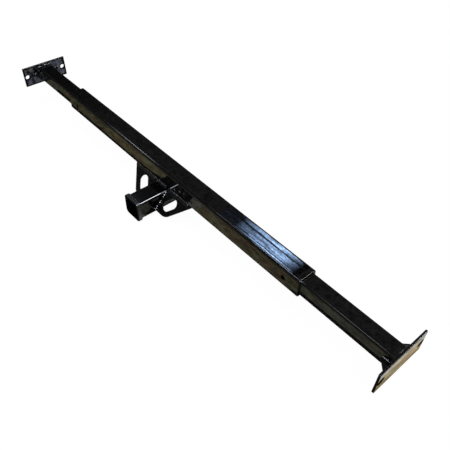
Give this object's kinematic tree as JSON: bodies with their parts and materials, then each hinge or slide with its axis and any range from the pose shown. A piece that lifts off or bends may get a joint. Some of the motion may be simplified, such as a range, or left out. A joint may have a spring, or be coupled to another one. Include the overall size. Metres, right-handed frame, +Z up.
{
  "type": "adjustable receiver hitch",
  "caption": "Adjustable-width square-tube receiver hitch with telescoping arms, bolt-on end plates, a welded square receiver with collar, and slotted safety-chain wings.",
  "frame": {"origin": "centre of the hitch-pin cross hole, on the receiver's axis", "axes": "-Y out of the receiver's mouth, X along the bar, +Z up with the cross tube above the receiver"},
  "size_m": [1.7375, 0.2413, 0.1357],
  "materials": {
    "bar_paint": "gloss black paint",
    "slide_paint": "gloss black paint",
    "weld_paint": "gloss black paint over weld metal"
  },
  "bodies": {
    "crossbar": {"chain_wing_left": "bar_paint", "chain_wing_right": "bar_paint", "cross_tube": "bar_paint", "receiver_collar": "bar_paint", "receiver_tube": "bar_paint", "receiver_weld_front": "weld_paint", "receiver_weld_left": "weld_paint", "receiver_weld_rear": "weld_paint", "receiver_weld_right": "weld_paint", "wing_receiver_weld_left": "weld_paint", "wing_receiver_weld_right": "weld_paint", "wing_tube_weld_left": "weld_paint", "wing_tube_weld_right": "weld_paint"},
    "left_slide": {"end_plate_left": "slide_paint", "gusset_front_left": "slide_paint", "gusset_rear_left": "slide_paint", "gusset_weld_front_left": "weld_paint", "gusset_weld_rear_left": "weld_paint", "plate_weld_lower_left": "weld_paint", "plate_weld_upper_left": "weld_paint", "slide_tube_left": "slide_paint"},
    "right_slide": {"end_plate_right": "slide_paint", "gusset_front_right": "slide_paint", "gusset_rear_right": "slide_paint", "gusset_weld_front_right": "weld_paint", "gusset_weld_rear_right": "weld_paint", "plate_weld_lower_right": "weld_paint", "plate_weld_upper_right": "weld_paint", "slide_tube_right": "slide_paint"}
  },
  "joints": [
    {"name": "left_slide_travel", "type": "slide", "parent": "crossbar", "child": "left_slide", "axis": [-1, 0, 0], "range_m": [-0.233, 0.142]},
    {"name": "right_slide_travel", "type": "slide", "parent": "crossbar", "child": "right_slide", "axis": [1, 0, 0], "range_m": [-0.254, 0.1205]}
  ]
}
